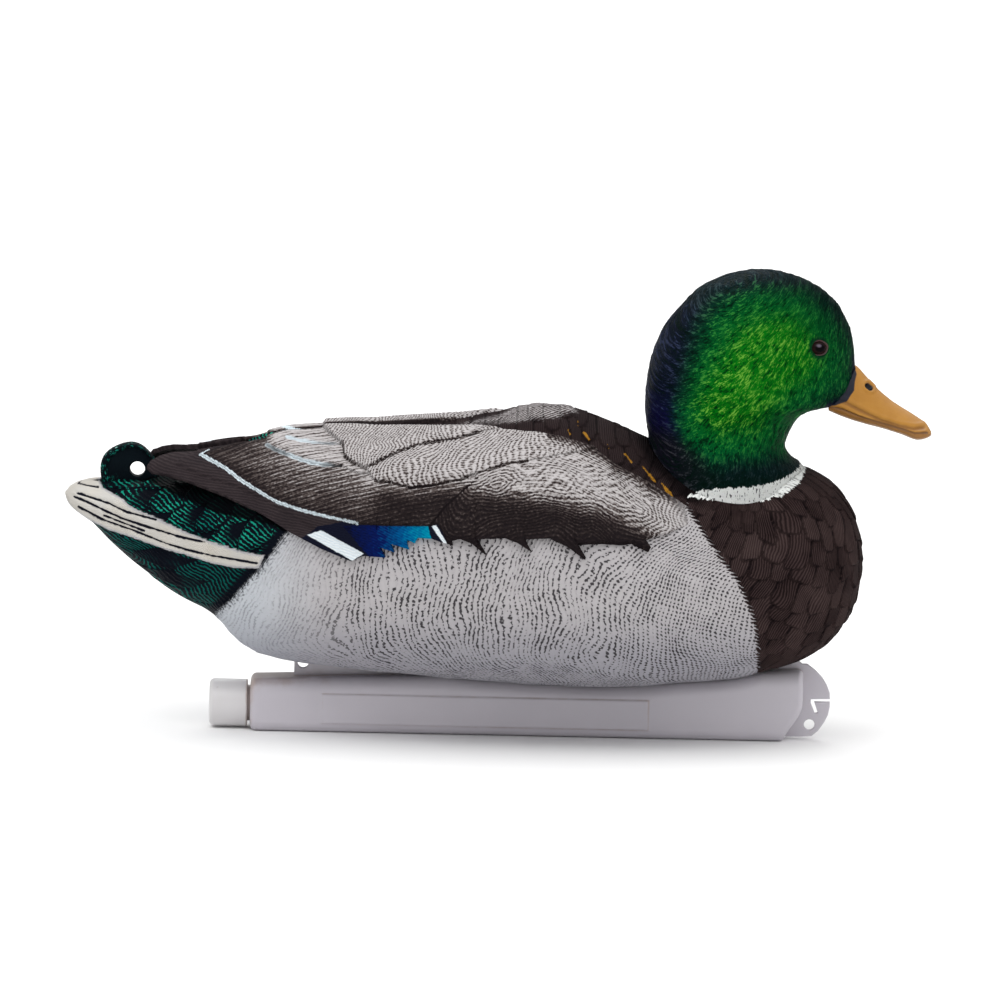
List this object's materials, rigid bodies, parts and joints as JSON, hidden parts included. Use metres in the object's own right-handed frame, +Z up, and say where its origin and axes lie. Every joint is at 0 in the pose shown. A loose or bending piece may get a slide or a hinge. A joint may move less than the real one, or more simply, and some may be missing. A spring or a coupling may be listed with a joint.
{
  "type": "floating duck decoy",
  "caption": "Floating mallard drake decoy: hollow moulded body, turning head and a hollow ballast keel with a screw cap, line-tie plate and tail hang loop.",
  "frame": {"origin": "centre of the length and width, on the flat underside of the keel", "axes": "+X towards the bill, +Z up, +Y to the duck's left"},
  "size_m": [0.3997, 0.154, 0.2184],
  "materials": {
    "body_paint": "matt paint on moulded plastic: grey flanks, brown breast and wings, white collar, black and teal rump, cream tail",
    "head_paint": "semi-gloss iridescent green, navy towards the nape",
    "bill_plastic": "satin ochre",
    "eye_gloss": "glossy dark brown",
    "keel_plastic": "satin off-white",
    "cap_plastic": "satin off-white",
    "seal_rubber": "matt",
    "sand": "loose dry sand",
    "ring_plastic": "natural moulded plastic",
    "clip_plastic": "black moulded plastic"
  },
  "bodies": {
    "duck": {"body_shell": "body_paint", "keel_shell": "keel_plastic", "ballast": "sand", "keel_clips": "clip_plastic"},
    "head": {"head_shell": "head_paint", "bill": "bill_plastic", "eye_left": "eye_gloss", "eye_right": "eye_gloss", "neck_ring": "ring_plastic"},
    "liner": {"cap_seal": "seal_rubber"},
    "cap": {"keel_cap": "cap_plastic"}
  },
  "joints": [
    {"name": "head_swivel", "type": "hinge", "parent": "duck", "child": "head", "pos_m": [0.1052, 0, 0.112], "axis": [0, 0, 1], "range_deg": [-90, 90]},
    {"name": "cap_travel", "type": "slide", "parent": "duck", "child": "liner", "axis": [-1, 0, 0], "range_m": [0, 0.01401]},
    {"name": "cap_turn", "type": "hinge", "parent": "liner", "child": "cap", "pos_m": [-0.122, 0, 0.0113], "axis": [-1, 0, 0], "range_deg": [0, 1440]}
  ],
  "couplings": [
    {"joint": "cap_travel", "follows": "cap_turn", "m_per_rad": 0.00055704}
  ]
}
